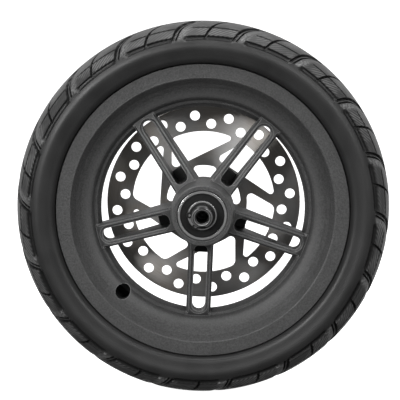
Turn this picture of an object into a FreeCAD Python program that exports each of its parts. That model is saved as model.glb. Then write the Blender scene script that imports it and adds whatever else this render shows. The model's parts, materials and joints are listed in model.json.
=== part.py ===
"""Rear wheel of a kick scooter: airless tyre, cast five-spoke rim, brake disc, axle and bearings.

Millimetres, +Z up. The origin is the wheel's centre at mid-width. The wheel turns about the Y axis.
The brake disc is on the +Y side ("rear" in the names), and the plain side faces -Y ("front").
Angles about the axle are counted from +X towards +Z.
"""
import FreeCAD, Part
import math
import os
import Sketcher
from FreeCAD import Placement, Rotation, Vector

SIZES = {
    # Whole wheel
    "wheel_turn": 51.4,          # angle of the first spoke, degrees
    "spoke_count": 5,
    "fit_gap": 0.05,             # running and sliding fits, on the radius
    # Axle
    "axle_r": 6.0,
    "axle_half": 50.0,
    "axle_chamfer": 0.7,
    "flat_half": 5.0,            # half of the distance across the flats
    "flat_length": 7.5,
    "tap_drill_r": 3.4,          # M8
    "tap_depth": 22.0,
    "tap_mouth_r": 4.3,
    # Retaining rings
    "ring_thick": 1.0,
    "ring_groove": 1.1,
    "ring_inner_r": 5.75,
    "ring_outer_r": 7.4,
    "ring_ear_r": 1.7,
    "ring_ear_at": 7.3,
    "ring_ear_turn": 30.0,       # from the middle of the opening to an ear
    "ring_hole_r": 0.8,
    "ring_open_turn": 208.0,     # where the front ring's opening points
    # Bearings, 12 x 28 x 8
    "bearing_r": 14.0,
    "bearing_width": 8.0,
    "bearing_corner": 0.5,
    "bearing_front": -40.0,      # outer face of the front bearing
    "bearing_rear": 22.0,        # outer face of the rear bearing
    "inner_race_r": 8.2,
    "outer_race_r": 11.8,        # inside of the outer race
    "ball_pitch_r": 10.0,
    "ball_r": 2.381,
    "raceway_r": 2.43,
    "ball_count": 8,
    "cage_inner_r": 9.35,
    "cage_outer_r": 10.65,
    "cage_back": 2.75,
    "cage_front": 1.1,
    "cage_window_r": 2.42,
    "cage_window_depth": 4.0,
    "seal_outer_r": 12.5,
    "seal_recess": 0.15,
    "seal_thick": 1.0,
    # Sleeves on the axle
    "spacer_r": 8.0,
    "collar_r": 8.2,
    # Hub of the casting
    "boss_front": -41.0,
    "boss_front_r": 17.0,
    "boss_mouth_r": 14.6,
    "hub_waist": -20.0,
    "hub_waist_r": 18.2,
    "barrel_r": 15.7,
    "barrel_rear": 22.6,
    "hub_bore_r": 12.0,
    # Spokes
    "spoke_width": 14.3,
    "spoke_root_r": 15.0,
    "spoke_tip_r": 63.0,
    "spoke_front_root": -21.8,   # height of the front face at the root
    "spoke_front_tip": -7.2,
    "spoke_rear_root": 9.0,
    "spoke_rear_tip": 2.4,
    "slot_width": 7.5,
    "slot_inner_r": 19.6,
    "slot_outer_r": 60.0,
    "slot_corner": 2.8,
    "bevel_width": 1.6,
    "bevel_depth": 0.9,
    "edge_width": 1.2,           # chamfers along a spoke's outer edges
    "edge_depth": 1.4,
    # Lugs that carry the brake disc
    "lug_front": 3.0,
    "lug_front_r": 27.0,
    "lug_rear_r": 25.2,
    "lug_width": 11.0,
    "bolt_circle_r": 20.8,
    "bolt_core_r": 1.65,         # M4
    "bolt_depth": 12.0,
    # Rim
    "lip_r": 59.0,
    "lip_front": -4.2,
    "lip_rear": -0.8,
    "channel_r": 66.2,
    "channel_half": 3.0,
    "chamber_r": 70.6,           # roof of the air space under the tyre's foot
    "chamber_half": 7.8,
    "rim_half": 20.0,
    "flange_r": 84.0,
    "flange_face_r": 75.8,
    "flange_thick": 3.4,
    "valve_r": 4.25,
    "valve_at_r": 66.6,
    "valve_turn": 174.6,         # from the first spoke
    # Tyre
    "tyre_r": 108.0,
    "tyre_half": 25.0,
    "tread_depth": 2.4,
    "tread_units": 18,
    "tread_turn": 36.5,          # from the first spoke to the middle of a narrow groove
    "shoulder_r": 102.3,         # middle of the shoulder's slope
    "shoulder_half": 20.3,
    "shoulder_tilt": 54.9,       # between the slope and the wheel's side, degrees
    # Brake disc
    "disc_front": 26.5,
    "disc_thick": 2.0,
    "disc_r": 57.5,
    "disc_bore_r": 16.6,
    "disc_hub_gap_r": 22.0,
    "disc_hub_r": 25.9,
    "disc_band_r": 42.3,
    "disc_windows": 6,
    "disc_window_turn": 4.6,     # from the first spoke to a window's tangent edge
    "disc_heel_turn": 0.6,       # where a window's short edge meets the band
    "disc_neck_turn": 20.8,      # and where it meets the hub ring
    "disc_gap_turn": 20.0,       # half of the space between two tabs
    "disc_hole_r": 2.95,
    "disc_outer_holes_r": 51.7,
    "disc_inner_holes_r": 46.8,
    "disc_holes": 16,
    "disc_outer_turn": 21.74,
    "disc_inner_turn": 10.5,
    # Disc bolts, M4 button heads
    "bolt_hole_r": 2.2,
    "bolt_shank_r": 2.0,
    "bolt_head_r": 3.6,
    "bolt_head": 2.2,
    "bolt_length": 10.0,
    "hex_half": 1.25,
    "hex_depth": 1.3,
}

doc = FreeCAD.newDocument("scooter_wheel")


class Size(float):
    """A number that remembers the sheet expression it was worked out from."""

    def __new__(cls, value, text):
        size = super().__new__(cls, value)
        size.text = text
        return size

    def __add__(self, other):
        return Size(float(self) + float(other), f"({self.text} + {text_of(other)})")

    def __sub__(self, other):
        return Size(float(self) - float(other), f"({self.text} - {text_of(other)})")

    def __rsub__(self, other):
        return Size(float(other) - float(self), f"({text_of(other)} - {self.text})")

    def __mul__(self, other):
        return Size(float(self) * float(other), f"({self.text} * {text_of(other)})")

    def __truediv__(self, other):
        return Size(float(self) / float(other), f"({self.text} / {text_of(other)})")

    def __neg__(self):
        return Size(-float(self), f"(0 - {self.text})")

    __radd__ = __add__
    __rmul__ = __mul__


def text_of(number):
    """The expression of a Size, or a plain number as text."""
    if isinstance(number, Size):
        return number.text
    return repr(float(number))


def fill_sheet():
    """Put the driving dimensions into a spreadsheet and return them as Sizes by name."""
    sheet = doc.addObject("Spreadsheet::Sheet", "sizes")
    sizes = {}
    for row, (alias, value) in enumerate(SIZES.items(), start=1):
        sheet.set(f"A{row}", alias)
        sheet.set(f"B{row}", str(value))
        sheet.setAlias(f"B{row}", alias)
        sizes[alias] = Size(value, f"sizes.{alias}")
    doc.recompute()
    return sizes


D = fill_sheet()


# ---------------------------------------------------------------- sketches and features

def new_body(label, turn=None):
    """An empty body. With turn, its own X axis is turned about the axle from +X towards +Z."""
    body = doc.addObject("PartDesign::Body", label)
    body.Label = label
    body.AllowCompound = True
    if turn is not None:
        body.Placement = Placement(Vector(), Rotation(Vector(0, -1, 0), float(turn)))
        body.setExpression("Placement.Rotation.Angle", text_of(turn))
    return body


def origin_of(body, role):
    """One of the body's own origin planes or axes."""
    return next(item for item in body.Origin.OriginFeatures if item.Role == role)


def section_sketch(body, name, turn=None):
    """A sketch through the axle: across is the radius along +X, up is +Y. turn is about the axle."""
    sketch = body.newObject("Sketcher::SketchObject", name)
    sketch.AttachmentSupport = [(origin_of(body, "XY_Plane"), "")]
    sketch.MapMode = "FlatFace"
    if turn is not None:
        sketch.AttachmentOffset = Placement(Vector(), Rotation(Vector(0, -1, 0), float(turn)))
        sketch.setExpression("AttachmentOffset.Rotation.Angle", text_of(turn))
    return sketch


def face_sketch(body, name, depth, turn=None):
    """A sketch square to the axle at Y = depth: across is +X, up is +Z. turn is about the axle."""
    sketch = body.newObject("Sketcher::SketchObject", name)
    sketch.AttachmentSupport = [(origin_of(body, "XZ_Plane"), "")]
    sketch.MapMode = "FlatFace"
    spin = Rotation(Vector(0, 0, 1), 0.0 if turn is None else float(turn))
    sketch.AttachmentOffset = Placement(Vector(0, 0, -float(depth)), spin)
    sketch.setExpression("AttachmentOffset.Base.z", f"0 - {text_of(depth)}")
    if turn is not None:
        sketch.setExpression("AttachmentOffset.Rotation.Angle", text_of(turn))
    return sketch


def tilted_sketch(body, name, radius, depth, tilt, turn=0.0):
    """A sketch on a slope that faces outwards and to the front, or inwards and to the front.

    Its origin is at the given radius and at Y = depth. Across runs outwards, down the slope to the
    rear by tilt degrees, and up is +Z before the sketch is turned about the axle.
    """
    sketch = body.newObject("Sketcher::SketchObject", name)
    sketch.AttachmentSupport = [(origin_of(body, "XZ_Plane"), "")]
    sketch.MapMode = "FlatFace"
    spin = Rotation(Vector(0, 0, 1), turn)
    place = spin.multVec(Vector(float(radius), 0, -float(depth)))
    sketch.AttachmentOffset = Placement(place, spin * Rotation(Vector(0, 1, 0), tilt))
    return sketch


def bind(sketch, kind, *place, size):
    """Add a dimension to a sketch and tie it to the sheet."""
    index = sketch.addConstraint(Sketcher.Constraint(kind, *place, float(size)))
    if isinstance(size, Size):
        sketch.setExpression(f"Constraints[{index}]", size.text)


def outline(sketch, corners, arcs=()):
    """A closed run of edges through corners given as (across, up) or (across, up, corner radius).

    Edge i runs from corner i to the next one. It is straight, or an arc about the sketch's origin
    if i is in arcs.
    """
    first = sketch.GeometryCount
    count = len(corners)
    points = [Vector(float(corner[0]), float(corner[1]), 0) for corner in corners]
    ends = []
    for i in range(count):
        start, end = points[i], points[(i + 1) % count]
        if i in arcs:
            ends.append(add_arc(sketch, start, end))
        else:
            sketch.addGeometry(Part.LineSegment(start, end))
            ends.append((1, 2))
    for i in range(count):
        following = (i + 1) % count
        sketch.addConstraint(Sketcher.Constraint(
            "Coincident", first + i, ends[i][1], first + following, ends[following][0]))
    for i, corner in enumerate(corners):
        if len(corner) == 2 or not arcs:
            bind(sketch, "DistanceX", first + i, ends[i][0], size=corner[0])
            bind(sketch, "DistanceY", first + i, ends[i][0], size=corner[1])
    for i, corner in enumerate(corners):
        if len(corner) == 3:
            before = (i - 1) % count
            arc = sketch.GeometryCount
            if arcs:
                sketch.fillet(first + before, first + i,
                              nearby(points[i], points[before], before in arcs),
                              nearby(points[i], points[(i + 1) % count], i in arcs),
                              float(corner[2]), True, False)
            else:
                sketch.fillet(first + before, 2, float(corner[2]), True, True)
            bind(sketch, "Radius", arc, size=corner[2])
    for i in arcs:
        bind(sketch, "DistanceX", first + i, 3, size=0.0)
        bind(sketch, "DistanceY", first + i, 3, size=0.0)


def add_arc(sketch, start, end):
    """An arc about the origin between two points. Gives which of its ends is the start."""
    turns = [math.atan2(point.y, point.x) for point in (start, end)]
    forward = turns[0] < turns[1]
    sketch.addGeometry(Part.ArcOfCircle(
        Part.Circle(Vector(), Vector(0, 0, 1), start.Length), min(turns), max(turns)))
    return (1, 2) if forward else (2, 1)


def nearby(point, other, on_arc):
    """A place on the edge from point to other, a tenth of the way along."""
    if not on_arc:
        return point + (other - point) * 0.1
    turn = math.atan2(other.y, other.x) - math.atan2(point.y, point.x)
    return Rotation(Vector(0, 0, 1), math.degrees(turn) * 0.1).multVec(point)


def circle(sketch, radius, across=0.0, up=0.0):
    """A circle with its centre at (across, up)."""
    centre = Vector(float(across), float(up), 0)
    index = sketch.addGeometry(Part.Circle(centre, Vector(0, 0, 1), float(radius)))
    bind(sketch, "Radius", index, size=radius)
    bind(sketch, "DistanceX", index, 3, size=across)
    bind(sketch, "DistanceY", index, 3, size=up)


def revolve(body, name, corners, cut=False):
    """Turn a section of (radius, Y) corners once round the axle, as material or as a cut."""
    sketch = section_sketch(body, f"{name}_section")
    outline(sketch, corners)
    feature = body.newObject("PartDesign::Groove" if cut else "PartDesign::Revolution", name)
    feature.Profile = sketch
    feature.ReferenceAxis = (sketch, ["V_Axis"])
    feature.Angle = 360
    return feature


def pad(body, name, sketch, length, to_rear=True):
    """Material from the sketch, towards +Y or -Y for a face sketch."""
    feature = body.newObject("PartDesign::Pad", name)
    feature.Profile = sketch
    feature.Length = float(length)
    feature.setExpression("Length", text_of(length))
    feature.Reversed = to_rear
    return feature


def pocket(body, name, sketch, length, to_rear=True):
    """A cut from the sketch, towards +Y or -Y for a face sketch. It has to remove something."""
    doc.recompute()
    before = body.Shape.Volume
    feature = body.newObject("PartDesign::Pocket", name)
    feature.Profile = sketch
    feature.Length = float(length)
    feature.setExpression("Length", text_of(length))
    feature.Reversed = not to_rear
    doc.recompute()
    if body.Shape.Volume > before - 1e-3:
        raise RuntimeError(f"{name} cuts nothing")
    return feature


def slab(body, name, sketch, width):
    """Material on both sides of a section sketch."""
    feature = pad(body, name, sketch, width)
    feature.SideType = "Symmetric"
    return feature


def around_axle(body, name, features, count):
    """Repeat features evenly round the axle."""
    pattern = body.newObject("PartDesign::PolarPattern", name)
    pattern.Originals = features
    pattern.Axis = (origin_of(body, "Y_Axis"), [""])
    pattern.Angle = 360
    pattern.Occurrences = int(count)
    pattern.setExpression("Occurrences", text_of(count))
    body.Tip = pattern
    return pattern


def tube(label, inner, outer, start, end, corner):
    """A plain sleeve on the axle from Y = start to Y = end, with broken outer edges."""
    body = new_body(label)
    revolve(body, f"{label}_turned", [
        (inner, start),
        (outer, start, corner),
        (outer, end, corner),
        (inner, end),
    ])
    return body


# ---------------------------------------------------------------- axle and what sits on it

FRONT_RING = D["bearing_front"] - D["ring_groove"]
REAR_RING = D["axle_half"] - D["flat_length"] - D["ring_groove"] - 0.5


def make_axle():
    """Round bar with two flats and a tapped hole at each end, and a groove for each ring."""
    body = new_body("axle")
    half = D["axle_half"]
    radius = D["axle_r"]
    chamfer = D["axle_chamfer"]
    revolve(body, "axle_bar", [
        (0.0, -half),
        (radius - chamfer, -half),
        (radius, chamfer - half),
        (radius, half - chamfer),
        (radius - chamfer, half),
        (0.0, half),
    ])
    for name, start in (("front", FRONT_RING), ("rear", REAR_RING)):
        revolve(body, f"axle_{name}_groove", [
            (D["ring_inner_r"], start),
            (radius + 1, start),
            (radius + 1, start + D["ring_groove"]),
            (D["ring_inner_r"], start + D["ring_groove"]),
        ], cut=True)
    for name, side in (("front", -1), ("rear", 1)):
        end = face_sketch(body, f"axle_{name}_flats_sketch", side * half)
        for up in (-1, 1):
            outline(end, [
                (-radius - 1, up * D["flat_half"]),
                (radius + 1, up * D["flat_half"]),
                (radius + 1, up * (radius + 1)),
                (-radius - 1, up * (radius + 1)),
            ])
        pocket(body, f"axle_{name}_flats", end, D["flat_length"], to_rear=side < 0)
        mouth = D["tap_mouth_r"] - D["tap_drill_r"]
        revolve(body, f"axle_{name}_tapping", [
            (0.0, side * half),
            (D["tap_mouth_r"], side * half),
            (D["tap_drill_r"], side * (half - mouth)),
            (D["tap_drill_r"], side * (half - D["tap_depth"])),
            (0.0, side * (half - D["tap_depth"] - D["tap_drill_r"] / 2)),
        ], cut=True)
    return body


def make_ring(label, start, open_turn):
    """External retaining ring: an open ring with two drilled ears beside its opening."""
    body = new_body(label, turn=open_turn)
    thick = D["ring_thick"]
    at = start + (D["ring_groove"] - thick) / 2
    base = face_sketch(body, f"{label}_sketch", at)
    circle(base, D["ring_outer_r"])
    circle(base, D["ring_inner_r"])
    pad(body, f"{label}_beam", base, thick)
    gap = face_sketch(body, f"{label}_gap_sketch", at)
    reach = D["ring_outer_r"] + 2
    spread = reach * math.tan(math.radians(SIZES["ring_ear_turn"]))
    outline(gap, [(0.0, 0.0), (reach, -spread), (reach, spread)])
    pocket(body, f"{label}_gap", gap, thick)
    ear_turn = math.radians(SIZES["ring_ear_turn"])
    ears = face_sketch(body, f"{label}_ears_sketch", at)
    holes = face_sketch(body, f"{label}_holes_sketch", at)
    for side in (-1, 1):
        across = D["ring_ear_at"] * math.cos(ear_turn)
        up = D["ring_ear_at"] * (side * math.sin(ear_turn))
        circle(ears, D["ring_ear_r"], across, up)
        circle(holes, D["ring_hole_r"], across, up)
    pad(body, f"{label}_ears", ears, thick)
    circle(holes, D["ring_inner_r"])
    pocket(body, f"{label}_holes", holes, thick)
    return body


# ---------------------------------------------------------------- bearings

def make_bearing(side, outward):
    """The six pieces of one sealed ball bearing. outward is -1 for the front one, 1 for the rear."""
    face = D["bearing_front"] if outward < 0 else D["bearing_rear"]
    width = D["bearing_width"]
    middle = face - outward * (width / 2)
    corner = D["bearing_corner"]
    low = middle - width / 2
    high = middle + width / 2
    recess = D["seal_recess"] + D["seal_thick"]

    inner = new_body(f"{side}_inner_race")
    revolve(inner, f"{side}_inner_turned", [
        (D["axle_r"], low, corner),
        (D["inner_race_r"], low, corner / 2),
        (D["inner_race_r"], high, corner / 2),
        (D["axle_r"], high, corner),
    ])
    outer = new_body(f"{side}_outer_race")
    revolve(outer, f"{side}_outer_turned", [
        (D["seal_outer_r"], low),
        (D["bearing_r"], low, corner),
        (D["bearing_r"], high, corner),
        (D["seal_outer_r"], high),
        (D["seal_outer_r"], high - recess),
        (D["outer_race_r"], high - recess),
        (D["outer_race_r"], low + recess),
        (D["seal_outer_r"], low + recess),
    ])
    for race, name in ((inner, "inner"), (outer, "outer")):
        cut_raceway(race, f"{side}_{name}", middle)

    balls = new_body(f"{side}_bearing_balls")
    ball = round_feature(balls, f"{side}_ball", "PartDesign::AdditiveSphere",
                         D["ball_r"], D["ball_pitch_r"], middle)
    around_axle(balls, f"{side}_ball_set", [ball], D["ball_count"])

    cage = new_body(f"{side}_bearing_cage")
    revolve(cage, f"{side}_cage_ring", [
        (D["cage_inner_r"], middle + outward * D["cage_back"]),
        (D["cage_outer_r"], middle + outward * D["cage_back"]),
        (D["cage_outer_r"], middle - outward * D["cage_front"]),
        (D["cage_inner_r"], middle - outward * D["cage_front"]),
    ])
    window = round_feature(cage, f"{side}_window", "PartDesign::SubtractiveCylinder",
                           D["cage_window_r"], D["cage_inner_r"] - 1, middle)
    window.Height = float(D["cage_window_depth"])
    window.setExpression("Height", text_of(D["cage_window_depth"]))
    around_axle(cage, f"{side}_window_set", [window], D["ball_count"])

    for name, towards in (("outer", outward), ("inner", -outward)):
        make_seal(f"{side}_{name}_seal", middle + towards * (width / 2), towards)


def cut_raceway(race, name, middle):
    """The round groove that the balls run in."""
    sketch = section_sketch(race, f"{name}_raceway_section")
    circle(sketch, D["raceway_r"], D["ball_pitch_r"], middle)
    groove = race.newObject("PartDesign::Groove", f"{name}_raceway")
    groove.Profile = sketch
    groove.ReferenceAxis = (sketch, ["V_Axis"])
    groove.Angle = 360


def round_feature(body, name, kind, radius, across, depth):
    """A ball or a drilled window with its own Z axis along +X, at the given radius and Y."""
    feature = body.newObject(kind, name)
    feature.Radius = float(radius)
    feature.setExpression("Radius", text_of(radius))
    feature.AttachmentSupport = [(origin_of(body, "XY_Plane"), "")]
    feature.MapMode = "FlatFace"
    feature.AttachmentOffset = Placement(
        Vector(float(across), float(depth), 0), Rotation(Vector(0, 1, 0), 90))
    feature.setExpression("AttachmentOffset.Base.x", text_of(across))
    feature.setExpression("AttachmentOffset.Base.y", text_of(depth))
    return feature


def make_seal(label, face, towards):
    """Rubber seal set just inside a bearing face, with a shallow ring pressed into it."""
    body = new_body(label)
    front = face - towards * D["seal_recess"]
    back = front - towards * D["seal_thick"]
    dip = front - towards * 0.25
    lip = D["inner_race_r"] + D["fit_gap"]
    revolve(body, f"{label}_moulded", [
        (lip, front),
        (lip + 0.9, front),
        (lip + 1.1, dip),
        (D["seal_outer_r"] - 0.8, dip),
        (D["seal_outer_r"] - 0.6, front),
        (D["seal_outer_r"], front),
        (D["seal_outer_r"], back),
        (lip, back),
    ])


# ---------------------------------------------------------------- cast wheel

def make_casting():
    """Rim, five slotted spokes, hub and disc lugs in one casting, with its machined bores."""
    body = new_body("wheel_casting", turn=D["wheel_turn"])
    cast_rim(body)
    cast_hub(body)
    cast_spokes(body)
    cast_lugs(body)
    machine_hub(body)
    return body


def cast_rim(body):
    """The rim's wall: flanges, stepped slopes and the barrel's lip inside, the tyre channel outside."""
    front = rim_side(-1, D["lip_front"])
    rear = rim_side(1, D["lip_rear"])
    revolve(body, "rim", front + rear[::-1])


def rim_side(side, lip):
    """One side of the rim's section, from the lip out to the flange and back to the channel."""
    face = side * D["rim_half"]
    back = side * (D["rim_half"] - D["flange_thick"])
    face_r = D["flange_face_r"]
    lip_r = D["lip_r"]
    return [
        (lip_r, lip, 0.8),
        (lip_r + 2.2, lip + side * 2.6, 0.9),
        (lip_r + 3.6, side * 6.9, 1.2),
        (lip_r + 5.4, side * 9.8, 2.5),
        (lip_r + 11.0, side * 13.2, 1.0),
        (face_r - 3.2, side * 15.6, 0.8),
        (face_r, face, 0.8),
        (D["flange_r"], face, 0.6),
        (D["flange_r"], back, 0.8),
        (face_r + 0.6, back, 1.2),
        (face_r - 1.4, side * 12.0, 2.0),
        (D["channel_r"], side * D["channel_half"], 2.0),
    ]


def cast_hub(body):
    """Solid hub: the drafted front boss and the slimmer barrel behind it."""
    revolve(body, "hub", [
        (D["hub_bore_r"], D["boss_front"]),
        (D["boss_front_r"], D["boss_front"], 0.7),
        (D["hub_waist_r"], D["hub_waist"]),
        (D["hub_waist_r"], D["hub_waist"] + 8, 1.0),
        (D["barrel_r"], D["hub_waist"] + 14, 2.0),
        (D["barrel_r"], D["barrel_rear"], 0.6),
        (D["hub_bore_r"], D["barrel_rear"]),
    ])


def cast_spokes(body):
    """Each spoke is a deep bar whose front face falls towards the rim, split by a long slot."""
    root = D["spoke_root_r"]
    tip = D["spoke_tip_r"]
    side = section_sketch(body, "spoke_side")
    outline(side, [
        (root, D["spoke_front_root"]),
        (tip, D["spoke_front_tip"]),
        (tip, D["spoke_rear_tip"]),
        (root + 8, D["spoke_rear_root"]),
        (root, D["spoke_rear_root"]),
    ])
    spoke = slab(body, "spoke", side, D["spoke_width"])
    around_axle(body, "spokes", [spoke], D["spoke_count"])

    slot_sketch = face_sketch(body, "slot_sketch", D["boss_front"])
    half = D["slot_width"] / 2
    slot_outline(slot_sketch, D["slot_inner_r"], D["slot_outer_r"], half, D["slot_corner"])
    slot = pocket(body, "slot", slot_sketch, D["lug_front"] - D["boss_front"] + 12)
    around_axle(body, "slots", [slot], D["spoke_count"])
    bevel_spokes(body)


def slot_outline(sketch, inner, outer, half, corner):
    """A slot along +X: square corners slightly rounded at the hub end, half round at the rim end."""
    outline(sketch, [
        (inner, -half, corner),
        (outer, -half, half - 0.02),
        (outer, half, half - 0.02),
        (inner, half, corner),
    ])


def bevel_spokes(body):
    """The wide bevel round each slot, and the chamfers along the spoke's outer edges."""
    run = D["spoke_tip_r"] - D["spoke_root_r"]
    rise = D["spoke_front_tip"] - D["spoke_front_root"]
    slope = math.degrees(math.atan2(float(rise), float(run)))
    stretch = 1 / math.cos(math.radians(slope))
    place = (D["spoke_root_r"], D["spoke_front_root"], slope)
    outer = (D["slot_outer_r"] - D["spoke_root_r"]) * stretch + D["bevel_width"]

    sketch = tilted_sketch(body, "bevel_sketch", *place)
    half = D["slot_width"] / 2 + D["bevel_width"]
    inner = (D["slot_inner_r"] + 2 - D["spoke_root_r"]) * stretch
    slot_outline(sketch, inner, outer, half, D["slot_corner"])
    bevel = pocket(body, "bevel", sketch, D["bevel_depth"])
    bevel.TaperAngle = -50

    edges = tilted_sketch(body, "edge_sketch", *place)
    near = D["spoke_width"] / 2 - D["edge_width"]
    far = D["spoke_width"] / 2 + 2
    for side in (-1, 1):
        outline(edges, [
            (2.6, side * near),
            (outer, side * near),
            (outer, side * far),
            (2.6, side * far),
        ])
    edge = pocket(body, "edge", edges, D["edge_depth"])
    edge.TaperAngle = -40
    around_axle(body, "bevels", [bevel, edge], D["spoke_count"])


def cast_lugs(body):
    """Five tapering lugs behind the spokes, each with a tapped hole for a disc bolt."""
    side = section_sketch(body, "lug_side")
    outline(side, [
        (D["hub_bore_r"] + 2.6, D["lug_front"]),
        (D["lug_front_r"], D["lug_front"], 1.0),
        (D["lug_rear_r"], D["disc_front"]),
        (D["hub_bore_r"] + 3.2, D["disc_front"]),
        (D["hub_bore_r"] + 2.6, D["barrel_rear"]),
    ])
    lug = slab(body, "lug", side, D["lug_width"])
    around_axle(body, "lugs", [lug], D["spoke_count"])
    sketch = face_sketch(body, "lug_hole_sketch", D["disc_front"])
    circle(sketch, D["bolt_core_r"], D["bolt_circle_r"])
    hole = pocket(body, "lug_hole", sketch, D["bolt_depth"], to_rear=False)
    around_axle(body, "lug_holes", [hole], D["spoke_count"])


def machine_hub(body):
    """Bearing seats with chamfered mouths, the bore between them, and the valve hole."""
    seat = D["bearing_r"]
    front_seat = D["bearing_front"] + D["bearing_width"]
    rear_seat = D["bearing_rear"] - D["bearing_width"]
    revolve(body, "bearing_seats", [
        (0.0, D["boss_front"]),
        (D["boss_mouth_r"], D["boss_front"]),
        (seat, D["boss_front"] + (D["boss_mouth_r"] - seat)),
        (seat, front_seat),
        (D["hub_bore_r"], front_seat),
        (D["hub_bore_r"], rear_seat),
        (seat, rear_seat),
        (seat, D["disc_front"]),
        (0.0, D["disc_front"]),
    ], cut=True)
    sketch = face_sketch(body, "valve_sketch", -D["rim_half"], turn=D["valve_turn"])
    circle(sketch, D["valve_r"], D["valve_at_r"])
    pocket(body, "valve_hole", sketch, D["rim_half"] + 4)


# ---------------------------------------------------------------- brake disc and bolts

def make_disc():
    """Vented disc: a drilled band on slanted arms, and five tabs at the hub."""
    body = new_body("brake_disc", turn=D["wheel_turn"])
    front = D["disc_front"]
    thick = D["disc_thick"]
    revolve(body, "disc_blank", [
        (D["disc_bore_r"], front),
        (D["disc_r"], front, 0.4),
        (D["disc_r"], front + thick, 0.4),
        (D["disc_bore_r"], front + thick),
    ])
    windows = pocket(body, "window", window_sketch(body), thick)
    around_axle(body, "windows", [windows], D["disc_windows"])
    gap = pocket(body, "tab_gap", tab_gap_sketch(body), thick)
    around_axle(body, "tab_gaps", [gap], D["spoke_count"])
    vent = (D["disc_hole_r"], D["disc_holes"])
    rows = (
        ("outer_row", D["disc_outer_holes_r"], D["disc_outer_turn"], *vent),
        ("inner_row", D["disc_inner_holes_r"], D["disc_inner_turn"], *vent),
        ("bolt_row", D["bolt_circle_r"], None, D["bolt_hole_r"], D["spoke_count"]),
    )
    for name, at, turn, radius, count in rows:
        sketch = face_sketch(body, f"{name}_sketch", front, turn=turn)
        circle(sketch, radius, at)
        hole = pocket(body, f"{name}_hole", sketch, thick)
        around_axle(body, name, [hole], count)
    return body


def window_sketch(body):
    """One window between two arms, drawn from where its long edge touches the hub ring."""
    sketch = face_sketch(body, "window_sketch", D["disc_front"], turn=D["disc_window_turn"])
    hub = D["disc_hub_r"]
    band = D["disc_band_r"]
    tip = math.acos(hub / band)
    heel = math.radians(SIZES["disc_heel_turn"])
    neck = math.radians(SIZES["disc_neck_turn"])
    outline(sketch, [
        (hub, 0.0),
        (hub, band * -math.sin(tip), 1.8),
        (band * math.cos(heel), band * math.sin(heel), 4.0),
        (hub * math.cos(neck), hub * math.sin(neck), 2.6),
    ], arcs=(1, 3))
    return sketch


def tab_gap_sketch(body):
    """The space between two tabs, half way between two bolts."""
    sketch = face_sketch(body, "tab_gap_sketch", D["disc_front"], turn=180.0 / D["spoke_count"])
    outer = D["disc_hub_gap_r"]
    inner = D["disc_bore_r"] - 2
    half = math.radians(SIZES["disc_gap_turn"])
    outline(sketch, [
        (inner * math.cos(half), inner * -math.sin(half)),
        (outer * math.cos(half), outer * -math.sin(half), 2.6),
        (outer * math.cos(half), outer * math.sin(half), 2.6),
        (inner * math.cos(half), inner * math.sin(half)),
    ], arcs=(1,))
    return sketch


def make_bolts():
    """Button-head bolts that hold the disc on the lugs, screwed in from the rear."""
    body = new_body("disc_bolts", turn=D["wheel_turn"])
    seat = D["disc_front"] + D["disc_thick"]
    tip = seat - D["bolt_length"]
    top = seat + D["bolt_head"]
    sketch = section_sketch(body, "bolt_section")
    outline(sketch, [
        (D["bolt_circle_r"], tip),
        (D["bolt_circle_r"] + D["bolt_core_r"] - 0.4, tip),
        (D["bolt_circle_r"] + D["bolt_core_r"], tip + 0.4),
        (D["bolt_circle_r"] + D["bolt_core_r"], D["disc_front"]),
        (D["bolt_circle_r"] + D["bolt_shank_r"], D["disc_front"]),
        (D["bolt_circle_r"] + D["bolt_shank_r"], seat),
        (D["bolt_circle_r"] + D["bolt_head_r"], seat, 0.2),
        (D["bolt_circle_r"] + D["bolt_head_r"], seat + 0.6, 0.6),
        (D["bolt_circle_r"] + D["bolt_head_r"] * 0.55, top, 0.8),
        (D["bolt_circle_r"], top),
    ])
    bolt = body.newObject("PartDesign::Revolution", "bolt")
    bolt.Profile = sketch
    centre = section_sketch(body, "bolt_centre")
    index = centre.addGeometry(Part.LineSegment(
        Vector(float(D["bolt_circle_r"]), 0, 0), Vector(float(D["bolt_circle_r"]), 10, 0)))
    centre.addConstraint(Sketcher.Constraint("Vertical", index))
    bind(centre, "DistanceX", index, 1, size=D["bolt_circle_r"])
    bind(centre, "DistanceY", index, 1, size=0.0)
    bind(centre, "DistanceY", index, 1, index, 2, size=10.0)
    bolt.ReferenceAxis = (centre, ["Edge1"])
    bolt.Angle = 360
    hexagon = face_sketch(body, "bolt_socket_sketch", top)
    corner = D["hex_half"] / math.cos(math.radians(30))
    outline(hexagon, [
        (D["bolt_circle_r"] + corner * math.cos(math.radians(60 * i)),
         corner * math.sin(math.radians(60 * i)))
        for i in range(6)
    ])
    socket = pocket(body, "bolt_socket", hexagon, D["hex_depth"], to_rear=False)
    around_axle(body, "bolt_set", [bolt, socket], D["spoke_count"])
    return body


# ---------------------------------------------------------------- tyre

def tyre_side():
    """Half of the tyre's outer section, from the rim's edge to the crown."""
    half = D["tyre_half"]
    return [
        (D["flange_r"] + 0.1, D["rim_half"] - 0.6),
        (D["flange_r"] + 0.9, D["rim_half"] + 0.6, 0.6),
        (D["flange_r"] + 4.5, half - 3.0, 4.0),
        (D["flange_r"] + 9.0, half, 4.0),
        (D["tyre_r"] - 9.4, half - 1.6),
        (D["tyre_r"] - 8.6, half - 3.0),
        (D["tyre_r"] - 7.8, half - 1.6),
        (D["tyre_r"] - 3.6, half - 7.6),
        (D["tyre_r"] - 4.6, half - 8.4),
        (D["tyre_r"] - 2.8, half - 9.6, 0.5),
        (D["tyre_r"] - 0.7, half - 17.0, 8.0),
        (D["tyre_r"], 2.0),
    ]


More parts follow.
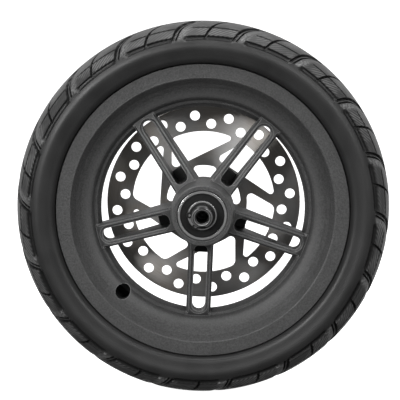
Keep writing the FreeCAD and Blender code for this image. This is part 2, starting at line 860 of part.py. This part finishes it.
def make_tyre():
    """Airless rubber tyre: its foot sits in the rim's channel, over an air space, under the tread."""
    body = new_body("tyre", turn=D["wheel_turn"])
    half = D["rim_half"]
    back = half - D["flange_thick"]
    face_r = D["flange_face_r"]
    foot = [
        (D["chamber_r"], D["chamber_half"]),
        (face_r - 1.4, 12.0, 2.0),
        (face_r + 0.6, back, 1.2),
        (D["flange_r"], back, 0.8),
    ]
    side = foot + tyre_side()
    other = [(corner[0], -corner[1], *corner[2:]) for corner in side]
    revolve(body, "tyre_moulding", side + other[::-1])
    cut_tread(body, "front", -1, D["tread_turn"])
    cut_tread(body, "rear", 1, D["tread_turn"] + 180.0 / SIZES["tread_units"])
    return body


def cut_tread(body, name, side, turn):
    """Slanting grooves over one shoulder: a narrow one, and half a pitch on a wide wedge."""
    shapes = {
        "narrow": (0.0, [(-5.0, 3.0), (4.6, -4.2), (4.6, -2.6), (-5.0, 4.6)]),
        "wide": (-7.2, [(-5.0, -5.4), (4.6, -8.4), (4.6, -5.4), (-5.0, 3.0)]),
    }
    grooves = []
    for shape, (offset, corners) in shapes.items():
        sketch = tilted_sketch(body, f"{name}_{shape}_sketch", D["shoulder_r"],
                               side * D["shoulder_half"], -side * SIZES["shoulder_tilt"],
                               float(turn) + offset)
        outline(sketch, corners)
        grooves.append(pocket(body, f"{name}_{shape}_groove", sketch, D["tread_depth"],
                              to_rear=side < 0))
    around_axle(body, f"{name}_tread", grooves, D["tread_units"])


# ---------------------------------------------------------------- assembly

def check_document():
    """Stop if any feature failed or any piece is not a sound solid."""
    for item in doc.Objects:
        if {"Invalid", "Error"} & set(item.State):
            raise RuntimeError(f"{item.Name} failed: {item.State}")
    for body in pieces():
        if body.Shape.isNull() or not body.Shape.isValid() or not body.Shape.Solids:
            raise RuntimeError(f"{body.Label} is not a sound solid")


def pieces():
    """Every sub-part of the wheel."""
    return [item for item in doc.Objects if item.TypeId == "PartDesign::Body"]


make_axle()
make_ring("front_retaining_ring", FRONT_RING, D["ring_open_turn"])
make_ring("rear_retaining_ring", REAR_RING, 90.0)
tube("bearing_spacer", D["axle_r"], D["spacer_r"],
     D["bearing_front"] + D["bearing_width"], D["bearing_rear"] - D["bearing_width"], 0.3)
tube("rear_collar", D["axle_r"], D["collar_r"], D["bearing_rear"], REAR_RING, 0.4)
make_bearing("front", -1)
make_bearing("rear", 1)
make_casting()
make_disc()
make_bolts()
make_tyre()
doc.recompute()
check_document()

os.makedirs("parts", exist_ok=True)
for piece in pieces():
    piece.Shape.exportStep(f"parts/{piece.Label}.step")
    print(f"{piece.Label:24s} {len(piece.Shape.Solids):3d} solids {piece.Shape.Volume / 1000:9.2f} cm3")
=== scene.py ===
"""Looks of the scooter's rear wheel: the tyre's moulded tread and a procedural finish for every part.

Metres, +Z up, in the CAD model's frame. The wheel turns about Y, and its brake disc is on the +Y side.
"""

import json
import math

import bpy
import numpy as np
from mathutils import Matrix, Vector


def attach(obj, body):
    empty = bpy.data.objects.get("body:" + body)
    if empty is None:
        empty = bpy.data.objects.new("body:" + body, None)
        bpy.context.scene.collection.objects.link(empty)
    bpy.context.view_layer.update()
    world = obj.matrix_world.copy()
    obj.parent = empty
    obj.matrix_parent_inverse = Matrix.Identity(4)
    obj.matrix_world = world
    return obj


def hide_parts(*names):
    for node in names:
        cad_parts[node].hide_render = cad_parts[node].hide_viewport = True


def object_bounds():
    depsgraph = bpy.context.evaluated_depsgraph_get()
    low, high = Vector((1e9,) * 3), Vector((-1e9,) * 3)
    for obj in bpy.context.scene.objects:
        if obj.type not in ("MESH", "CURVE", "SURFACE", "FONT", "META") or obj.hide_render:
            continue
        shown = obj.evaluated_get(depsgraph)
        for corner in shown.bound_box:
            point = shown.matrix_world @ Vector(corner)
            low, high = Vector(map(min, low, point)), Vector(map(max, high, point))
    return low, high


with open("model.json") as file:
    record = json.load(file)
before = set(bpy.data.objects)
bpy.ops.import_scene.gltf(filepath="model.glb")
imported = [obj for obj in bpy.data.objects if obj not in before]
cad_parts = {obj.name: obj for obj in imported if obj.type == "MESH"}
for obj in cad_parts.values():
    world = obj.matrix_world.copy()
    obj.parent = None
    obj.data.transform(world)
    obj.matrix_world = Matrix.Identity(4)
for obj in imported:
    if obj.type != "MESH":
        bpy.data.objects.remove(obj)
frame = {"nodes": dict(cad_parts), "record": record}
CAD_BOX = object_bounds()

MM = 0.001
CAMERA_AIM = Vector((-1.76, 0.0, 4.15)) * MM
CAMERA_DISTANCE = 1.022
CAMERA_AZIMUTH = math.radians(0.75)
CAMERA_ELEVATION = math.radians(6.62)
CAMERA_LENS = 158.2          # for a 36 mm sensor
FLOOR_RADIUS = 150.0         # reaches the horizon
FLOOR_SIDES = 96

# The soft lights: place and size in metres, and power in watts
LIGHTS = {
    "top_light": ((0.0, -0.25, 1.3), (1.6, 1.0), 12),
    "left_light": ((-1.05, -1.9, 0.75), (0.6, 0.6), 20),
    "right_light": ((0.95, -1.9, 0.8), (0.6, 0.6), 8),
    "front_light": ((0.0, -2.2, 0.3), (1.6, 1.2), 7),
}
# The room's brightness, darker in front of the wheel and below it: axis, range of the direction along it,
# and the light at that range's ends
ROOM_SHADING = (("Y", -0.3, 0.6, 0.12, 0.7), ("Z", -0.7, -0.1, 0.3, 1.0))

# Radii of marks, painted shade and painted highlights in the finishes, and sizes of the fine patterns, in
# mm
SHADED_VALLEY_R = 61.6         # painted shade between the rim's lip and its slope
# painted highlight along the rim's slope
HIGHLIT_SLOPE_R = 66.2
SHADED_MOUTH_R = 14.6          # painted shade in the gap round the bearing
# painted shade in the valley of the tyre's sidewall
SHADED_SIDEWALL_R = 88.8
HATCH_START_R, HATCH_FULL_R = 98.8, 99.8
HATCH_R = 102.0              # where the hatch's lines run at 45 degrees
# pale rings on the axle's turned edges: partly wear, partly painted highlight
WORN_AND_HIGHLIT_AXLE_R = (4.35, 5.5)
TAPPED_R = 3.6               # the thread in the axle's ends shows inside this
THREAD_PITCH = 1.25
THREAD_DEPTH = 0.9
HATCH_SCALE = 230.0          # of the wave texture, per metre

# The tyre's section as radius and half width: its foot in the rim, its sidewall, and its tread up to
# the crown
TYRE_FOOT = [(70.6, 7.8), (74.4, 12.0), (76.4, 16.6), (83.7, 16.5)]
TYRE_SIDEWALL = [(84.1, 18.4), (84.4, 20.6), (85.2, 22.4), (86.6, 23.3), (88.6, 23.7), (90.8, 24.1),
                 (92.6, 24.5), (94.0, 24.6), (95.4, 24.3), (96.8, 23.75), (98.0, 23.1)]
TYRE_TREAD = [(99.9, 22.3), (102.0, 19.9), (104.2, 17.2), (105.5, 14.3), (106.5, 11.0), (107.3, 7.0),
              (107.8, 3.4), (108.0, 0.0)]
TREAD_UNITS = 18
TREAD_START = 89.3           # angle of one narrow groove's foot, degrees from +X towards +Z

# Angles within one unit of the tread, in degrees from the narrow groove's middle. From it, the unit holds a
# block, a ramp down into the wide groove, the groove with a ridge in its middle, and a second block.
NARROW = 0.42                # half the narrow groove's width
RAMP_START = 6.7
RAMP_END = 9.2
RIDGE_START = 9.75
RIDGE_END = 10.35
WIDE_END = 11.1
UNIT = 360.0 / TREAD_UNITS
WALL = 0.14                  # width of a groove's slanted wall

# Depths of the tread's features, in mm
SLIT_DEPTH = 2.0
RAMP_DEPTH = 0.75
GROOVE_DEPTH = 2.1
RIDGE_DEPTH = 0.85
LINE_DEPTH = 1.5

# Distances from the blocks' feet over the tread, in mm
STRIP = (-0.1, 2.3)          # the strip along the blocks' feet
LINE = (8.9, 9.7)            # the line across the blocks
# where the ramps' pale specks, partly scuffs and partly painted highlight, fade out
SCUFF_AND_HIGHLIGHT_FADE = (7.0, 12.0)
CROWN_FADE = (24.0, 26.0)    # the grooves end between these

# How the pattern turns away over that distance, in degrees per mm and degrees per square mm
SLANT = -0.17
SLANT_CURVE = -0.0055

STEP_FOOT, STEP_WALL, STEP_TREAD = 9.0, 0.95, 0.5      # spacing of the mesh's rows, in mm
SHARP_ANGLE = 38.0           # edges steeper than this stay sharp, degrees
TREAD_TONE = "tread_tone"    # the tyre's vertex layer of pale specks, partly scuffs and partly painted highlight, and of painted shade


# ---------------------------------------------------------------- materials

class Finish:
    """One procedural material: a Principled shader and the nodes that feed it. Edge rounds its corners."""

    def __init__(self, name, edge=0.0, **values):
        self.material = bpy.data.materials.new(name)
        self.material.use_nodes = True
        self.tree = self.material.node_tree
        self.shader = self.tree.nodes["Principled BSDF"]
        for socket, value in values.items():
            self.feed(self.shader.inputs[socket.replace("_", " ")], value)
        self.place = self.add("ShaderNodeTexCoord").outputs["Object"]
        self.bumped = None
        if edge:
            self.bumped = self.add("ShaderNodeBevel", {"Radius": edge}, samples=6).outputs[0]
            self.feed(self.shader.inputs["Normal"], self.bumped)

    def add(self, kind, inputs=(), **settings):
        """A new node with its settings, and with a value or a link in each input that is named."""
        node = self.tree.nodes.new(kind)
        for name, value in settings.items():
            setattr(node, name, value)
        for socket, value in dict(inputs).items():
            self.feed(node.inputs[socket], value)
        return node

    def feed(self, socket, value):
        if isinstance(value, bpy.types.NodeSocket):
            self.tree.links.new(value, socket)
        else:
            socket.default_value = value

    def math(self, operation, *values):
        node = self.add("ShaderNodeMath", operation=operation)
        for socket, value in zip(node.inputs, values):
            self.feed(socket, value)
        return node.outputs[0]

    def noise(self, size, place=None, detail=3.0, roughness=0.5):
        """Noise from 0 to 1 whose features are about this size in metres."""
        vector = self.place if place is None else place
        return self.add("ShaderNodeTexNoise", {
            "Vector": vector, "Scale": 1.0 / size, "Detail": detail, "Roughness": roughness,
        }).outputs[0]

    def spread(self, value, low, high, to_low=0.0, to_high=1.0):
        """Stretches the range from low to high to the range from to_low to to_high, and clamps it."""
        return self.add("ShaderNodeMapRange", {
            "Value": value, "From Min": low, "From Max": high, "To Min": to_low, "To Max": to_high,
        }).outputs[0]

    def blend(self, factor, first, second):
        """A mix of two colours."""
        node = self.add("ShaderNodeMix", data_type="RGBA")
        self.feed(node.inputs[0], factor)
        self.feed(node.inputs[6], first)
        self.feed(node.inputs[7], second)
        return node.outputs[2]

    def radius(self):
        """Distance from the axle, in metres."""
        flat = self.add("ShaderNodeVectorMath", {0: self.place, 1: (1, 0, 1)}, operation="MULTIPLY")
        return self.add("ShaderNodeVectorMath", {0: flat.outputs[0]}, operation="LENGTH").outputs["Value"]

    def angle(self):
        """Angle about the axle, in radians."""
        parts = self.add("ShaderNodeSeparateXYZ", {0: self.place}).outputs
        return self.math("ARCTAN2", parts["Z"], parts["X"])

    def depth(self):
        """Position along the axle, in metres."""
        return self.add("ShaderNodeSeparateXYZ", {0: self.place}).outputs["Y"]

    def polar(self, across, around):
        """A place whose X is the radius and whose Y is the angle, each with its own scale."""
        return self.add("ShaderNodeCombineXYZ", {
            "X": self.math("MULTIPLY", self.radius(), across),
            "Y": self.math("MULTIPLY", self.angle(), around),
            "Z": self.math("MULTIPLY", self.depth(), across),
        }).outputs[0]

    def band(self, middle, half, strength):
        """A soft ring about the axle: strength at the middle radius, and 0 at half its width from there."""
        away = self.math("ABSOLUTE", self.math("SUBTRACT", self.radius(), middle))
        return self.spread(away, 0.0, half, strength, 0.0)

    def edges(self, width):
        """About 1 along sharp edges of this width, and 0 on smooth faces."""
        rounded = self.add("ShaderNodeBevel", {"Radius": width}, samples=6).outputs[0]
        plain = self.add("ShaderNodeNewGeometry").outputs["Normal"]
        same = self.add("ShaderNodeVectorMath", {0: rounded, 1: plain}, operation="DOT_PRODUCT")
        return self.spread(same.outputs["Value"], 0.998, 0.95)

    def openness(self, distance):
        """1 on open faces, falling towards 0 in corners and crevices of about this distance across."""
        return self.add("ShaderNodeAmbientOcclusion", {"Distance": distance}, samples=8).outputs["AO"]

    def bump(self, height, distance):
        """Raises the surface by height times distance, over any bump that is there already."""
        node = self.add("ShaderNodeBump", {"Height": height, "Distance": distance, "Strength": 1.0})
        if self.bumped is not None:
            self.feed(node.inputs["Normal"], self.bumped)
        self.bumped = node.outputs[0]
        self.feed(self.shader.inputs["Normal"], self.bumped)

    def colour(self, value):
        self.feed(self.shader.inputs["Base Color"], value)

    def rough(self, value):
        self.feed(self.shader.inputs["Roughness"], value)


def grey(value, warmth=0.0):
    """A near-grey linear colour. Positive warmth is reddish, negative bluish."""
    return (value * (1 + warmth), value, value * (1 - warmth), 1.0)


def cast_coating():
    """Satin powder coat: fine orange peel, a speckled grain, pale edges that are partly wear and partly
    painted highlight, painted shade in the corners, in the rim's valley and in the gap round the bearing,
    and a painted highlight on the rim's slope.
    """
    finish = Finish("cast_coating_look", edge=0.35 * MM, Specular_IOR_Level=0.5)
    clouds = finish.noise(9 * MM, detail=4.0)
    grain = finish.noise(1.1 * MM, detail=3.0, roughness=0.75)
    tone = finish.blend(finish.spread(clouds, 0.3, 0.7), grey(0.070), grey(0.088))
    speckled = finish.blend(finish.spread(grain, 0.38, 0.62), grey(0.045), grey(0.135))
    surface = finish.blend(0.45, tone, speckled)
    # painted shade in the rim's valley between its lip and its slope
    surface = finish.blend(finish.band(SHADED_VALLEY_R * MM, 2.2 * MM, 0.6), surface, grey(0.02))
    # painted shade in the gap round the bearing
    surface = finish.blend(finish.band(SHADED_MOUTH_R * MM, 0.6 * MM, 0.9), surface, grey(0.008))
    # painted highlight along the rim's slope
    surface = finish.blend(finish.band(HIGHLIT_SLOPE_R * MM, 3.0 * MM, 0.5), surface, grey(0.15))
    # paler edges: partly wear, partly painted highlight on the rounded edges
    edge_wear_and_highlight = finish.math("MULTIPLY", finish.edges(0.7 * MM), finish.spread(clouds, 0.25, 0.6, 0.5, 0.9))
    surface = finish.blend(edge_wear_and_highlight, surface, grey(0.34))
    # painted shade in corners and crevices, from ambient occlusion
    finish.colour(finish.blend(finish.spread(finish.openness(14 * MM), 0.4, 0.9), grey(0.015), surface))
    finish.rough(finish.spread(clouds, 0.3, 0.7, 0.42, 0.52))
    finish.bump(finish.noise(1.6 * MM, detail=1.0), 0.10 * MM)
    finish.bump(grain, 0.2 * MM)
    return finish


def tyre_rubber():
    """Moulded black rubber: matt grain, faint bloom, painted shade in its crevices, sidewall valley, strips
    and lines, and a hatched tread whose pale lines are painted highlight, with pale specks that are partly
    scuffs and partly painted highlight.
    """
    finish = Finish("tyre_rubber_look", Specular_IOR_Level=0.65)
    bloom = finish.noise(14 * MM, detail=5.0)
    grain = finish.noise(0.7 * MM, detail=2.0)
    tone = finish.blend(finish.spread(bloom, 0.3, 0.7), grey(0.026), grey(0.034))
    # painted shade in the valley of the sidewall
    tone = finish.blend(finish.band(SHADED_SIDEWALL_R * MM, 4.0 * MM, 0.55), tone, grey(0.012))
    hatch = finish.add("ShaderNodeTexWave", {
        "Vector": finish.polar(1.0, HATCH_R * MM), "Scale": HATCH_SCALE, "Distortion": 0.6, "Detail": 1.0,
    }, bands_direction="DIAGONAL").outputs["Fac"]
    patches = finish.spread(finish.noise(13 * MM, detail=2.0), 0.44, 0.60, 0.1, 0.75)
    on_tread = finish.spread(finish.radius(), HATCH_START_R * MM, HATCH_FULL_R * MM)
    hatched = finish.math("MULTIPLY", hatch, finish.math("MULTIPLY", patches, on_tread))
    # the hatch is the tread's ribbed pattern; its pale lines are painted highlight on the ribs
    tone = finish.blend(hatched, tone, grey(0.19))
    marks = finish.add("ShaderNodeAttribute", attribute_name=TREAD_TONE).outputs["Fac"]
    specks = finish.spread(finish.noise(1.2 * MM, detail=3.0), 0.40, 0.62, 0.1, 1.0)
    # pale specks on the ramps: partly scuffs, partly painted highlight
    scuffs_and_highlight = finish.math("MULTIPLY", finish.spread(marks, 0.0, 1.0), specks)
    # painted shade in the strips and lines of the tread
    painted_shade_in_lines = finish.spread(marks, -1.0, 0.0, 0.75, 0.0)
    tone = finish.blend(painted_shade_in_lines, finish.blend(scuffs_and_highlight, tone, grey(0.20)), grey(0.008))
    # painted shade in crevices, from ambient occlusion
    finish.colour(finish.blend(finish.spread(finish.openness(10 * MM), 0.3, 0.8), grey(0.012), tone))
    finish.rough(finish.spread(bloom, 0.3, 0.7, 0.36, 0.48))
    finish.bump(hatched, 0.22 * MM)
    finish.bump(grain, 0.06 * MM)
    return finish


def disc_steel():
    """Ground stainless steel: fine lines round the axle, and brown heat colour in cloudy patches."""
    finish = Finish("disc_steel_look", Metallic=1.0, Anisotropic=0.8)
    lines = finish.noise(1.0, place=finish.polar(5200.0, 2.2), detail=4.0, roughness=0.65)
    heat = finish.noise(22 * MM, detail=2.0)
    tone = finish.blend(finish.spread(heat, 0.4, 0.6), grey(0.36, 0.10), grey(0.52, 0.01))
    finish.colour(finish.blend(finish.spread(lines, 0.35, 0.65, 0.0, 0.5), tone, grey(0.66, 0.02)))
    finish.rough(finish.spread(lines, 0.3, 0.7, 0.40, 0.52))
    finish.feed(finish.shader.inputs["Tangent"],
                finish.add("ShaderNodeTangent", direction_type="RADIAL", axis="Y").outputs[0])
    finish.bump(lines, 0.012 * MM)
    return finish


def turned(name, roughness, pitch):
    """Metal with rings from the cutting tool. Its colour is left to the caller."""
    finish = Finish(name, edge=0.15 * MM, Metallic=0.7)
    rings = finish.noise(1.0, place=finish.polar(1.0 / pitch, 0.6), detail=2.0)
    finish.rough(finish.spread(rings, 0.3, 0.7, roughness * 0.85, roughness * 1.15))
    finish.bump(rings, 0.01 * MM)
    return finish


def turned_steel(name, value, roughness, pitch):
    """Bright turned metal with a slightly uneven tone."""
    finish = turned(name, roughness, pitch)
    stain = finish.noise(3 * MM, detail=3.0)
    finish.colour(finish.blend(finish.spread(stain, 0.3, 0.7), grey(value * 0.88), grey(value)))
    return finish


def axle_steel():
    """Dark plated steel with pale rings at its turned edges, partly wear and partly painted highlight, and
    thread in its tapped ends.
    """
    finish = turned("axle_steel_look", 0.32, 0.22 * MM)
    stain = finish.noise(2 * MM, detail=3.0)
    plated = finish.blend(finish.spread(stain, 0.3, 0.7), grey(0.05), grey(0.09))
    # pale rings at the turned edges: partly wear, partly painted highlight
    for ring in WORN_AND_HIGHLIT_AXLE_R:
        plated = finish.blend(finish.band(ring * MM, 0.42 * MM, 0.9), plated, grey(0.5))
    finish.colour(plated)
    inside = finish.math("LESS_THAN", finish.radius(), TAPPED_R * MM)
    turn = finish.math("DIVIDE", finish.angle(), 2 * math.pi)
    along = finish.math("ADD", finish.math("DIVIDE", finish.depth(), THREAD_PITCH * MM), turn)
    thread = finish.math("PINGPONG", along, 0.5)
    finish.bump(finish.math("MULTIPLY", thread, inside), THREAD_DEPTH * MM)
    return finish


def moulded(name, value, roughness, warmth=0.0):
    """Moulded rubber or plastic: fine grain and a slightly uneven sheen."""
    finish = Finish(name)
    cloud = finish.noise(4 * MM, detail=3.0)
    dark, light = grey(value * 0.85, warmth), grey(value, warmth)
    finish.colour(finish.blend(finish.spread(cloud, 0.3, 0.7), dark, light))
    finish.rough(finish.spread(cloud, 0.3, 0.7, roughness * 0.88, roughness * 1.12))
    finish.bump(finish.noise(0.3 * MM), 0.02 * MM)
    return finish


def blackened(name, value, roughness):
    """Steel with a dark conversion coat that is rubbed a little lighter in places."""
    finish = Finish(name, edge=0.15 * MM, Metallic=0.3)
    wear = finish.noise(1.6 * MM, detail=4.0)
    finish.colour(finish.blend(finish.spread(wear, 0.55, 0.75), grey(value), grey(value * 2.4)))
    finish.rough(finish.spread(wear, 0.4, 0.7, roughness, roughness * 0.8))
    finish.bump(wear, 0.01 * MM)
    return finish


FINISHES = {
    "cast_coating": cast_coating(),
    "tyre_rubber": tyre_rubber(),
    "disc_steel": disc_steel(),
    "axle_steel": axle_steel(),
    "collar_aluminium": turned_steel("collar_aluminium_look", 0.72, 0.3, 0.3 * MM),
    "bearing_steel": turned_steel("bearing_steel_look", 0.66, 0.2, 0.12 * MM),
    "ring_steel": blackened("ring_steel_look", 0.02, 0.5),
    "bolt_steel": blackened("bolt_steel_look", 0.035, 0.4),
    "cage_plastic": moulded("cage_plastic_look", 0.12, 0.5, warmth=0.5),
    "seal_rubber": moulded("seal_rubber_look", 0.004, 0.7),
}


def finish_cad_nodes():
    """Gives every CAD node the finish of its slot in the record."""
    for row in frame["record"]["subparts"]:
        node = frame["nodes"][row["node"]]
        for material_slot in node.material_slots:
            material_slot.material = FINISHES[row["material_slot"]].material


# ---------------------------------------------------------------- tyre

def smooth_step(value, low, high):
    t = np.clip((value - low) / (high - low), 0.0, 1.0)
    return t * t * (3 - 2 * t)


def refine(points, spacing):
    """A smooth line through the points, cut into steps of about the spacing."""
    points = np.array(points, float)
    lengths = np.r_[0, np.cumsum(np.hypot(*np.diff(points, axis=0).T))]
    slopes = np.gradient(points, lengths, axis=0)
    count = max(2, int(math.ceil(lengths[-1] / spacing)) + 1)
    at = np.linspace(0, lengths[-1], count)
    span = np.clip(np.searchsorted(lengths, at, side="right") - 1, 0, len(points) - 2)
    width = lengths[span + 1] - lengths[span]
    t = ((at - lengths[span]) / width)[:, None]
    width = width[:, None]
    return ((1 + 2 * t) * (1 - t) ** 2 * points[span] + t * (1 - t) ** 2 * width * slopes[span]
            + t * t * (3 - 2 * t) * points[span + 1] + t * t * (t - 1) * width * slopes[span + 1])


def groove(place, start, end, wall):
    """1 between start and end and 0 outside, with slanted walls of the given width."""
    rise = np.clip((place - start) / wall + 0.5, 0, 1)
    fall = np.clip((end - place) / wall + 0.5, 0, 1)
    return np.minimum(rise, fall)


def tread_columns():
    """Angles of the grid's columns over one unit: two at each groove's edge, and a few between."""
    edges = [NARROW, RAMP_END, RIDGE_START, RIDGE_END, WIDE_END, UNIT - NARROW]
    fixed = [e + s * WALL / 2 for e in edges for s in (-1, 1)]
    fixed += [0.0, RAMP_START, (RAMP_END + RIDGE_START) / 2, (RIDGE_START + RIDGE_END) / 2,
              (RIDGE_END + WIDE_END) / 2]
    first_block, ramp, second_block = (1.4, 6.0, 6), (7.2, 8.8, 4), (12.0, UNIT - 1.4, 8)
    for span in (first_block, ramp, second_block):
        fixed += list(np.linspace(*span))
    return np.array(sorted(fixed))


def strip_mask(turn, along):
    """1 in the strip along the blocks' feet, which stops at the wide groove."""
    return groove(along, *STRIP, 0.5) * (1 - groove(turn, RAMP_START, WIDE_END, 0.6))


def line_mask(turn, along):
    """1 in the line that crosses the blocks, which stops short of the wide groove."""
    return groove(along, *LINE, 0.35) * (1 - groove(turn, RAMP_START - 1.0, WIDE_END, 0.8))


def tread_depth(turn, along):
    """Depth of the tread's pattern in mm, by the angle in a unit and the distance from the blocks' feet."""
    foot = smooth_step(along, 0.2, 1.0)
    slit = groove(turn, -NARROW, NARROW, WALL) + groove(turn, UNIT - NARROW, UNIT + NARROW, WALL)
    ramp = np.clip((turn - RAMP_START) / (RAMP_END - RAMP_START), 0, 1) * (turn <= RAMP_END + WALL)
    deep = groove(turn, RAMP_END, RIDGE_START, WALL) + groove(turn, RIDGE_END, WIDE_END, WALL)
    ridge = groove(turn, RIDGE_START, RIDGE_END, WALL)
    wide = np.maximum.reduce([RAMP_DEPTH * ramp, GROOVE_DEPTH * deep, RIDGE_DEPTH * ridge])
    across = np.maximum(SLIT_DEPTH * slit, wide) * foot * (1 - smooth_step(along, *CROWN_FADE))
    lines = LINE_DEPTH * np.maximum(strip_mask(turn, along), line_mask(turn, along))
    return np.maximum(across, lines)


def tread_tone(turn, along):
    """Tone of the tread: up to 1 on the ramps' pale specks, partly scuffs and partly painted highlight, and
    down to -1 for painted shade in the strips and lines.
    """
    # pale specks on the ramps: partly scuffs, partly painted highlight
    scuff_and_highlight = groove(turn, RAMP_START, RAMP_END, 1.2) * smooth_step(along, 0.3, 1.5)
    scuff_and_highlight = scuff_and_highlight * (1 - smooth_step(along, *SCUFF_AND_HIGHLIGHT_FADE))
    # minus 1 where the strips and lines get painted shade
    return scuff_and_highlight - np.maximum(strip_mask(turn, along), line_mask(turn, along))


def tread_slant(along):
    """How far the pattern has turned at this distance from the blocks' feet, in degrees."""
    return SLANT * along + SLANT_CURVE * along ** 2


def half_section():
    """One side's section as points, outward normals and distance from the blocks' feet, in mm."""
    foot = refine(TYRE_FOOT, STEP_FOOT)
    wall = refine(TYRE_SIDEWALL, STEP_WALL)
    tread = refine([TYRE_SIDEWALL[-1]] + TYRE_TREAD, STEP_TREAD)[1:]
    points = np.vstack([foot, wall, tread])
    along = np.r_[-np.cumsum(np.hypot(*np.diff(np.vstack([foot, wall])[::-1], axis=0).T))[::-1], 0.0,
                  np.cumsum(np.hypot(*np.diff(np.vstack([wall[-1:], tread]), axis=0).T))]
    tangent = np.gradient(points, axis=0)
    normal = np.c_[-tangent[:, 1], tangent[:, 0]]
    normal /= np.linalg.norm(normal, axis=1)[:, None]
    return points, normal, along


def tyre_side_grid(side):
    """One side's grid of points from the channel's floor to the crown's middle, and the tone at each."""
    points, normal, along = half_section()
    columns = tread_columns()
    turn = np.tile(columns, TREAD_UNITS)
    start = np.repeat(np.arange(TREAD_UNITS) * UNIT, len(columns))
    depth = tread_depth(turn[None, :], along[:, None]) * (along > -1.5)[:, None]
    slant = tread_slant(np.clip(along, 0, None))
    angle = np.radians(start + turn + TREAD_START)[None, :] + np.radians(slant)[:, None]
    radius = points[:, 0][:, None] - normal[:, 0][:, None] * depth
    width = points[:, 1][:, None] - normal[:, 1][:, None] * depth
    tone = tread_tone(turn[None, :], along[:, None])
    return np.stack([radius * np.cos(angle), side * width, radius * np.sin(angle), tone], axis=-1)


def build_tyre():
    """The tyre as one closed mesh, from the front side's foot over the crown to the rear side's foot."""
    front = tyre_side_grid(-1)
    rear = tyre_side_grid(1)
    grid = np.concatenate([front, rear[-2::-1]])
    rows, columns = grid.shape[:2]
    index = np.arange(rows * columns).reshape(rows, columns)
    beside = np.roll(index, -1, axis=1)
    above, above_beside = np.roll(index, -1, axis=0), np.roll(beside, -1, axis=0)
    faces = np.stack([index, above, above_beside, beside], axis=-1).reshape(-1, 4)
    mesh = bpy.data.meshes.new("tyre_tread")
    mesh.from_pydata((grid[..., :3].reshape(-1, 3) * MM).tolist(), [], faces.tolist())
    mesh.attributes.new(TREAD_TONE, "FLOAT", "POINT").data.foreach_set("value", grid[..., 3].ravel())
    mesh.shade_smooth()
    mesh.set_sharp_from_angle(angle=math.radians(SHARP_ANGLE))
    mesh.materials.append(FINISHES["tyre_rubber"].material)
    tyre = bpy.data.objects.new("tyre_tread", mesh)
    bpy.context.scene.collection.objects.link(tyre)
    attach(tyre, "wheel")
    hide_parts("tyre")


# ---------------------------------------------------------------- stage

def build_floor():
    """A wide pale floor under the wheel, which doesn't light the wheel or show in its metal."""
    bpy.ops.mesh.primitive_circle_add(vertices=FLOOR_SIDES, radius=FLOOR_RADIUS, fill_type="NGON",
                                      location=(0, 0, CAD_BOX[0].z))
    floor = bpy.context.object
    floor.name = "floor"
    finish = Finish("floor_look", Base_Color=grey(0.9), Roughness=0.9)
    finish.shader.inputs["Emission Color"].default_value = (1, 1, 1, 1)
    finish.shader.inputs["Emission Strength"].default_value = 1.0
    floor.data.materials.append(finish.material)
    floor.visible_diffuse = False
    floor.visible_glossy = False


def area_light(name, place, size, power):
    """A soft light at a place, turned to the wheel's centre."""
    light = bpy.data.lights.new(name, "AREA")
    light.shape = "RECTANGLE"
    light.size, light.size_y = size
    light.energy = power
    lamp = bpy.data.objects.new(name, light)
    lamp.location = place
    lamp.rotation_euler = (-Vector(place)).to_track_quat("-Z", "Y").to_euler()
    bpy.context.scene.collection.objects.link(lamp)
    lamp.visible_camera = False
    return lamp


def build_lights():
    """The soft lights, and a room that is brighter behind the wheel than in front of it."""
    lamps = {name: area_light(name, *light) for name, light in LIGHTS.items()}
    lamps["front_light"].visible_glossy = False
    world = bpy.data.worlds.new("studio")
    world.use_nodes = True
    tree = world.node_tree
    sky = tree.nodes["Background"]
    sky.inputs["Color"].default_value = (1, 1, 1, 1)
    place = tree.nodes.new("ShaderNodeTexCoord")
    direction = tree.nodes.new("ShaderNodeSeparateXYZ")
    tree.links.new(place.outputs["Generated"], direction.inputs[0])
    total = tree.nodes.new("ShaderNodeMath")
    total.operation = "MULTIPLY"
    for socket, (axis, dark, light, least, most) in zip(total.inputs, ROOM_SHADING):
        shade = tree.nodes.new("ShaderNodeMapRange")
        tree.links.new(direction.outputs[axis], shade.inputs["Value"])
        for name, value in zip(("From Min", "From Max", "To Min", "To Max"), (dark, light, least, most)):
            shade.inputs[name].default_value = value
        tree.links.new(shade.outputs[0], socket)
    tree.links.new(total.outputs[0], sky.inputs["Strength"])
    bpy.context.scene.world = world


def build_camera():
    """A long lens a metre in front of the plain side, a little above the axle."""
    data = bpy.data.cameras.new("camera")
    data.sensor_width = 36.0
    data.lens = CAMERA_LENS
    data.clip_end = 4 * FLOOR_RADIUS
    camera = bpy.data.objects.new("camera", data)
    back = Vector((math.sin(CAMERA_AZIMUTH) * math.cos(CAMERA_ELEVATION),
                   -math.cos(CAMERA_AZIMUTH) * math.cos(CAMERA_ELEVATION),
                   math.sin(CAMERA_ELEVATION)))
    camera.location = CAMERA_AIM + back * CAMERA_DISTANCE
    camera.rotation_mode = "QUATERNION"
    camera.rotation_quaternion = (-back).to_track_quat("-Z", "Y")
    bpy.context.scene.collection.objects.link(camera)
    bpy.context.scene.camera = camera


finish_cad_nodes()
build_tyre()
build_floor()
build_lights()
build_camera()
bpy.context.scene.view_settings.view_transform = "Standard"
